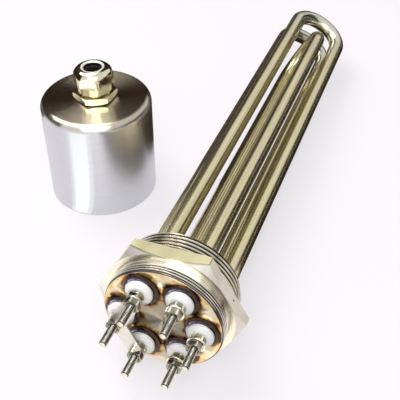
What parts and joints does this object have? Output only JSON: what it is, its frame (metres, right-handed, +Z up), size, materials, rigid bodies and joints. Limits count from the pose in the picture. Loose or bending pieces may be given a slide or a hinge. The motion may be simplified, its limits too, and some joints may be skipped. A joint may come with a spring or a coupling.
{
  "type": "screw-plug immersion heater",
  "caption": "Immersion heater: hairpin tubular elements welded in a threaded hexagon plug with ceramic stud terminals, and its screw-on terminal cover with cable gland set down beside it.",
  "frame": {"origin": "on the floor, under the middle of the box round the heater and the cover", "axes": "+Z up; +Y along the heater, from its terminals to the bends of its elements (the heater itself slopes down by about 2 degrees towards +Y); +X from the cover towards the heater"},
  "size_m": [0.1572, 0.3386, 0.0828],
  "materials": {
    "plug_steel": "turned and milled stainless steel, warm straw tint by the welds",
    "sheath_steel": "satin stainless tube with a pale olive straw tint from annealing",
    "weld_bead": "dark blue and purple heat-tinted weld",
    "cover_steel": "polished stainless steel, finely turned on the top",
    "gland_nickel": "bright nickel-plated brass",
    "nickel_fastener": "nickel-plated steel",
    "stud_steel": "plain threaded steel",
    "bridge_plate": "flat pale metal strip",
    "white_ceramic": "white steatite ceramic with a soft gloss",
    "seal_resin": "cast resin",
    "magnesia_powder": "packed mineral powder",
    "coil_wire": "resistance wire",
    "black_rubber": "black rubber",
    "claw_nylon": "black nylon"
  },
  "bodies": {
    "heater_and_cover": {"ceramic_bead_1": "white_ceramic", "ceramic_bead_2": "white_ceramic", "ceramic_bead_3": "white_ceramic", "ceramic_bead_4": "white_ceramic", "ceramic_bead_5": "white_ceramic", "ceramic_bead_6": "white_ceramic", "element_sheath_1": "sheath_steel", "element_sheath_2": "sheath_steel", "element_sheath_3": "sheath_steel", "end_seals": "seal_resin", "flat_washers": "nickel_fastener", "gland_body": "gland_nickel", "gland_gasket": "black_rubber", "gland_locknut": "gland_nickel", "heating_coil_1": "coil_wire", "heating_coil_2": "coil_wire", "heating_coil_3": "coil_wire", "hex_plug": "plug_steel", "inner_nuts": "nickel_fastener", "magnesia_fill_1": "magnesia_powder", "magnesia_fill_2": "magnesia_powder", "magnesia_fill_3": "magnesia_powder", "outer_nuts": "nickel_fastener", "star_bridge": "bridge_plate", "terminal_cover": "cover_steel", "terminal_pin_1": "stud_steel", "terminal_pin_2": "stud_steel", "terminal_pin_3": "stud_steel", "terminal_pin_4": "stud_steel", "terminal_pin_5": "stud_steel", "terminal_pin_6": "stud_steel", "weld_collars": "weld_bead"},
    "gland_clamp": {"gland_claw": "claw_nylon", "gland_seal": "black_rubber"},
    "dome_nut": {"gland_dome_nut": "gland_nickel"}
  },
  "joints": [
    {"name": "gland_clamp_travel", "type": "slide", "parent": "heater_and_cover", "child": "gland_clamp", "axis": [0, 0, 1], "range_m": [-0.00075, 0.00225]},
    {"name": "dome_nut_turn", "type": "hinge", "parent": "gland_clamp", "child": "dome_nut", "pos_m": [-0.04656, -0.02745, 0.069], "axis": [0, 0, 1], "range_deg": [-180, 540]}
  ],
  "couplings": [
    {"joint": "gland_clamp_travel", "follows": "dome_nut_turn", "m_per_rad": 0.00023873}
  ]
}
